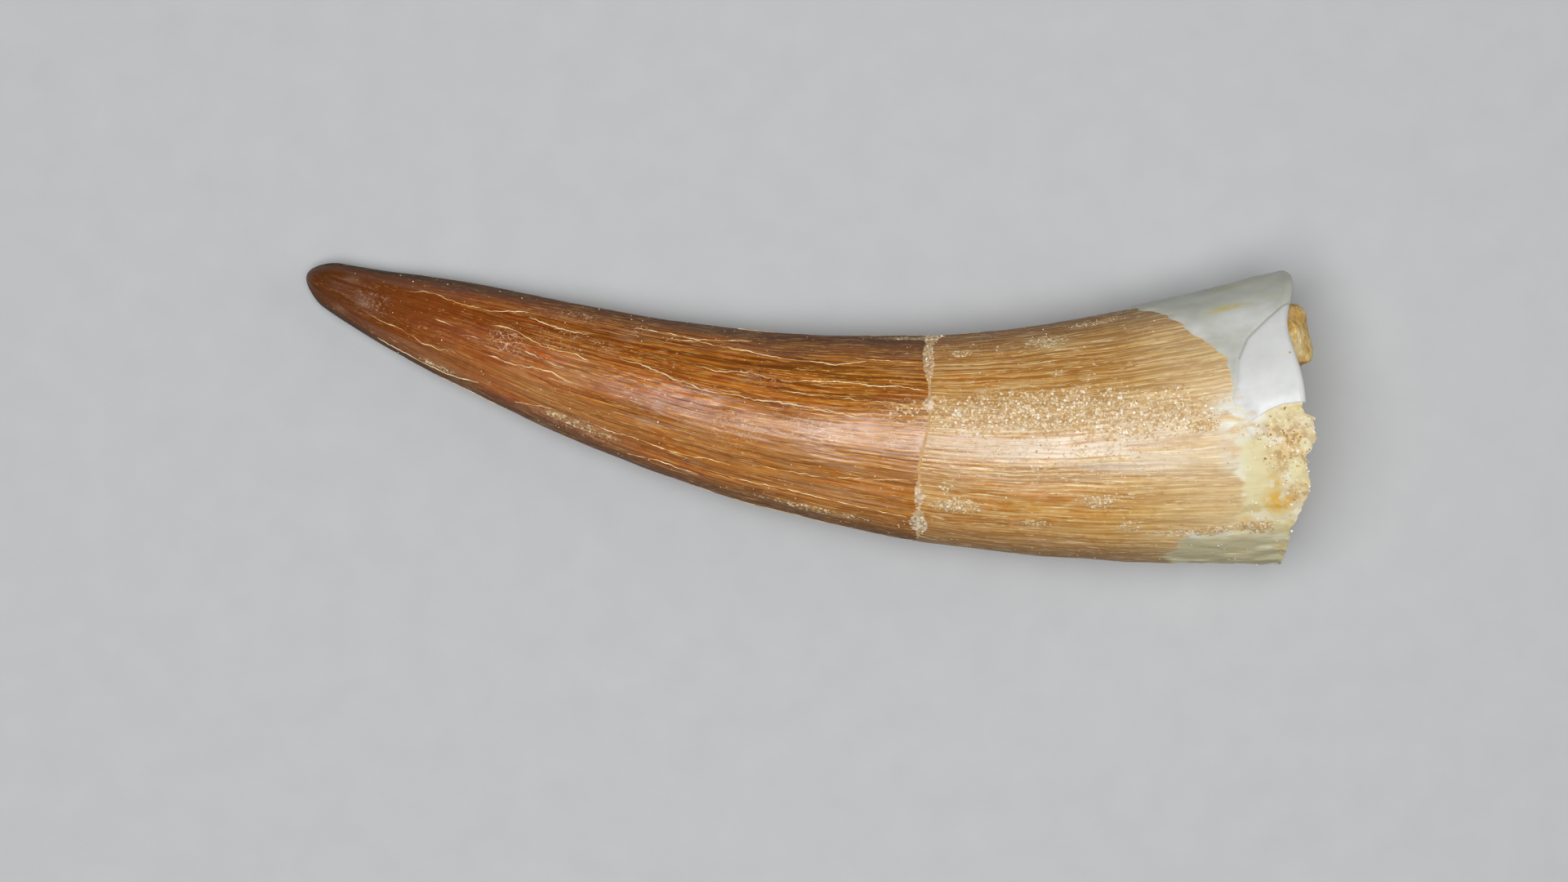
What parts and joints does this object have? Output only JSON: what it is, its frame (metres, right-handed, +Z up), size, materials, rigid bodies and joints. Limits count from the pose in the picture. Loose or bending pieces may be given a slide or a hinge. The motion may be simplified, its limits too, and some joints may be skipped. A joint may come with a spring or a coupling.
{
  "type": "fossil plesiosaur tooth",
  "caption": "Long curved conical reptile tooth, fossilised, with fine lengthwise ridges, a glued break across the crown, sandstone in the root cavity and a pale repair patch; lies on its side.",
  "frame": {"origin": "on the surface that the tooth lies on, under the middle of its box", "axes": "+X from the tip towards the root end, +Y towards the hollow side of its curve, +Z up as it lies"},
  "size_m": [0.0606, 0.0184, 0.0161],
  "materials": {
    "amber_enamel": "satin fossil enamel, finely ridged, amber brown with pale cracks",
    "tan_enamel": "satin fossil enamel, finely ridged, tan fading to cream at the root",
    "sandy_glue": "matt, gritty",
    "yellow_sandstone": "matt, loose grained",
    "pale_filler": "smooth, slightly glossy, grey white"
  },
  "bodies": {
    "root": {"tip_fragment": "amber_enamel", "root_fragment": "tan_enamel", "glue_seam": "sandy_glue", "matrix_plug": "yellow_sandstone", "filler_patch": "pale_filler"}
  },
  "joints": []
}
